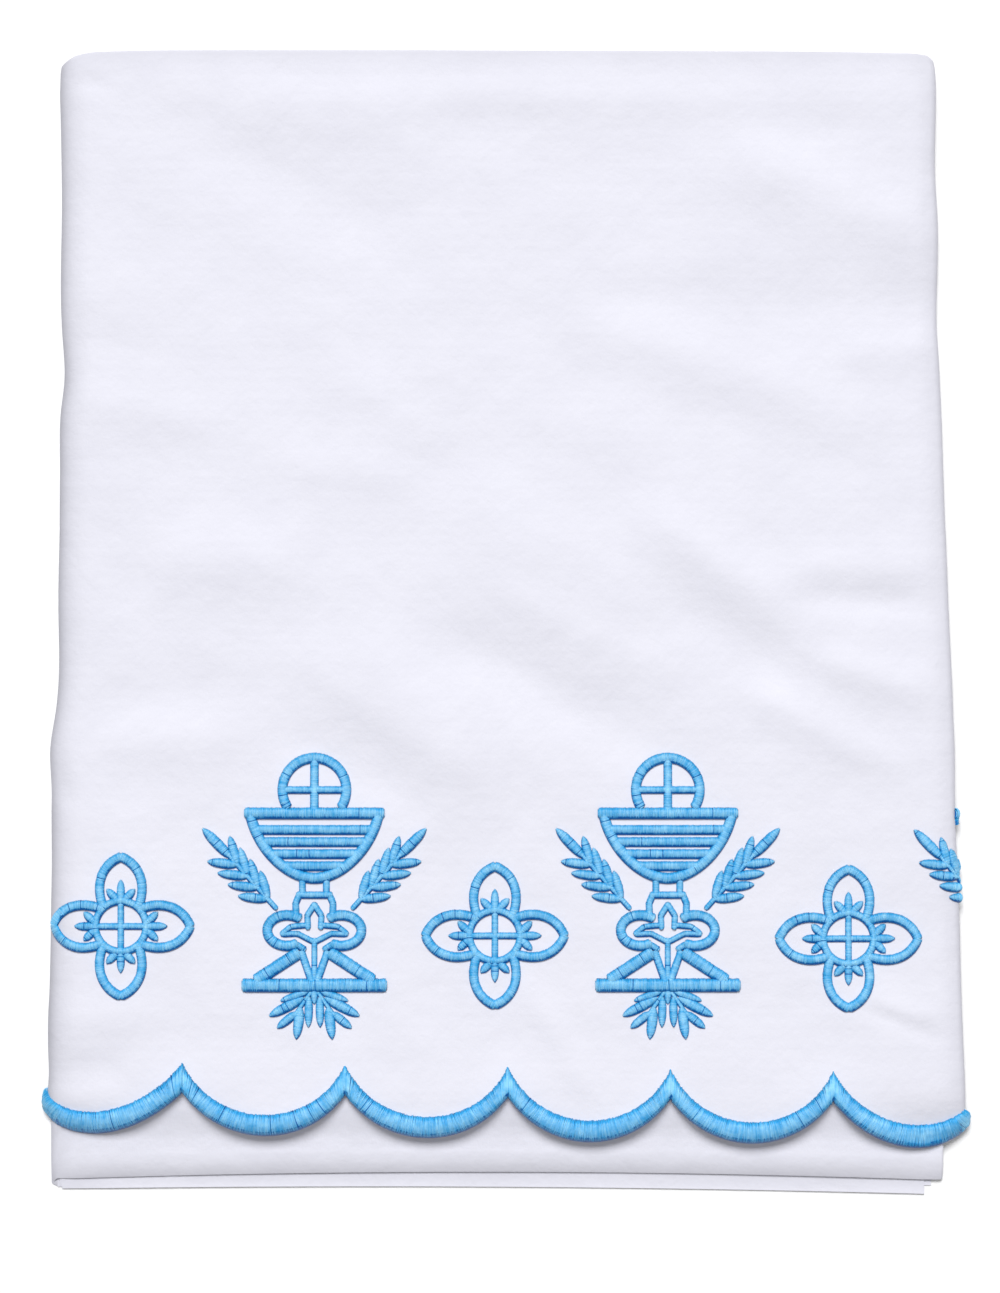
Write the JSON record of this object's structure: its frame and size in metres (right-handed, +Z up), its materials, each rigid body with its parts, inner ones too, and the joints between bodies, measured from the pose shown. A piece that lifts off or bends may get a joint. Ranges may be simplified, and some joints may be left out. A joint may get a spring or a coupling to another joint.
{
  "type": "altar cloth",
  "caption": "White altar cloth folded flat, with a scalloped front edge and blue satin-stitch chalices, wheat and crosses; it covers an altar table.",
  "frame": {"origin": "middle of the folded cloth's footprint, on the face that it lies on", "axes": "+Z up out of the embroidered front, +Y from the scalloped edge towards the top fold, +X to the right as seen from above"},
  "size_m": [0.38, 0.47, 0.0141],
  "materials": {
    "white_cloth": "matte",
    "blue_thread": "satin"
  },
  "bodies": {
    "root": {"cloth": "white_cloth", "scalloped_border": "blue_thread", "chalice_left": "blue_thread", "chalice_right": "blue_thread", "chalice_fold": "blue_thread", "wheat_ear_1": "blue_thread", "wheat_ear_2": "blue_thread", "wheat_ear_3": "blue_thread", "wheat_ear_4": "blue_thread", "wheat_ear_5": "blue_thread", "wheat_ear_5_grain": "blue_thread", "cross_left": "blue_thread", "cross_middle": "blue_thread", "cross_right": "blue_thread"}
  },
  "joints": []
}
